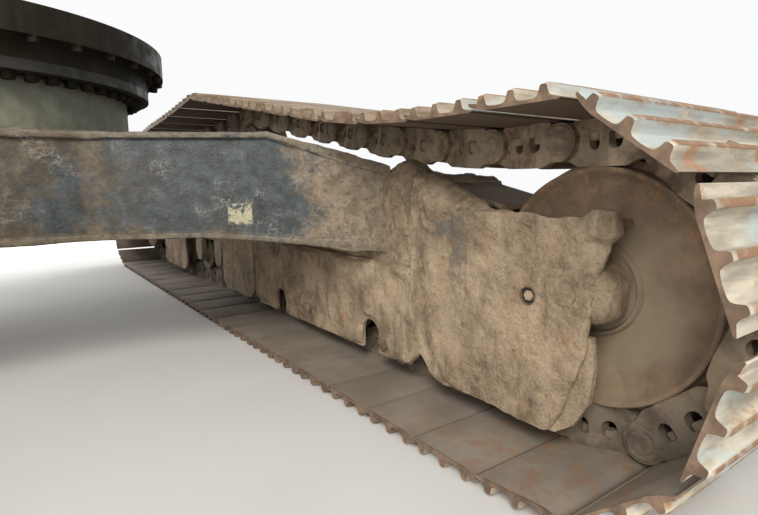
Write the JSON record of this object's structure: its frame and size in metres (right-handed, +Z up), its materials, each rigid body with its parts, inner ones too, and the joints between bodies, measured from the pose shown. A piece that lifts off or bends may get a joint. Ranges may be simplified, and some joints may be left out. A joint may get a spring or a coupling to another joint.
{
  "type": "crawler excavator undercarriage",
  "caption": "Crawler undercarriage with an X-shaped frame, two shoe tracks, idlers, rollers, sprockets and a turning slewing ring on a round tub.",
  "frame": {"origin": "on the ground, under the slewing axis", "axes": "+X forward to the idlers, +Y to the left track, +Z up along the slewing axis"},
  "size_m": [4.4222, 3.09, 1.0943],
  "materials": {
    "slate_paint": "scratched, muddy",
    "tub_paint": "dusty",
    "muddy_paint": "caked with dry mud",
    "race_steel": "greasy, dusty",
    "worn_steel": "rusty, worn rails",
    "cast_rust": "rusty",
    "shoe_rust": "rusty with dry mud"
  },
  "bodies": {
    "undercarriage": {"carbody_center": "slate_paint", "belly_cover": "muddy_paint", "leg_front_left": "slate_paint", "leg_front_right": "slate_paint", "leg_rear_left": "slate_paint", "leg_rear_right": "slate_paint", "slew_tub": "tub_paint", "slew_inner_race": "race_steel", "swivel_joint": "muddy_paint", "side_frame_left": "muddy_paint", "side_frame_right": "muddy_paint", "idler_guards_left": "muddy_paint", "idler_guards_right": "muddy_paint", "idler_left": "cast_rust", "idler_right": "cast_rust", "idler_yoke_left": "muddy_paint", "idler_yoke_right": "muddy_paint", "bottom_rollers_left": "worn_steel", "bottom_rollers_right": "worn_steel", "carrier_rollers_left": "worn_steel", "carrier_rollers_right": "worn_steel", "roller_guards_left": "muddy_paint", "roller_guards_right": "muddy_paint", "sprocket_left": "worn_steel", "sprocket_right": "worn_steel", "final_drive_left": "muddy_paint", "final_drive_right": "muddy_paint", "travel_motor_left": "muddy_paint", "travel_motor_right": "muddy_paint", "motor_cover_left": "muddy_paint", "motor_cover_right": "muddy_paint", "step_left": "muddy_paint", "step_right": "muddy_paint", "track_chain_left": "worn_steel", "track_chain_right": "worn_steel", "track_shoes_left": "shoe_rust", "track_shoes_right": "shoe_rust"},
    "upper_ring": {"slew_outer_race": "race_steel"}
  },
  "joints": [
    {"name": "slew", "type": "hinge", "parent": "undercarriage", "child": "upper_ring", "pos_m": [0, 0, 1.0523], "axis": [0, 0, 1], "continuous": true}
  ]
}
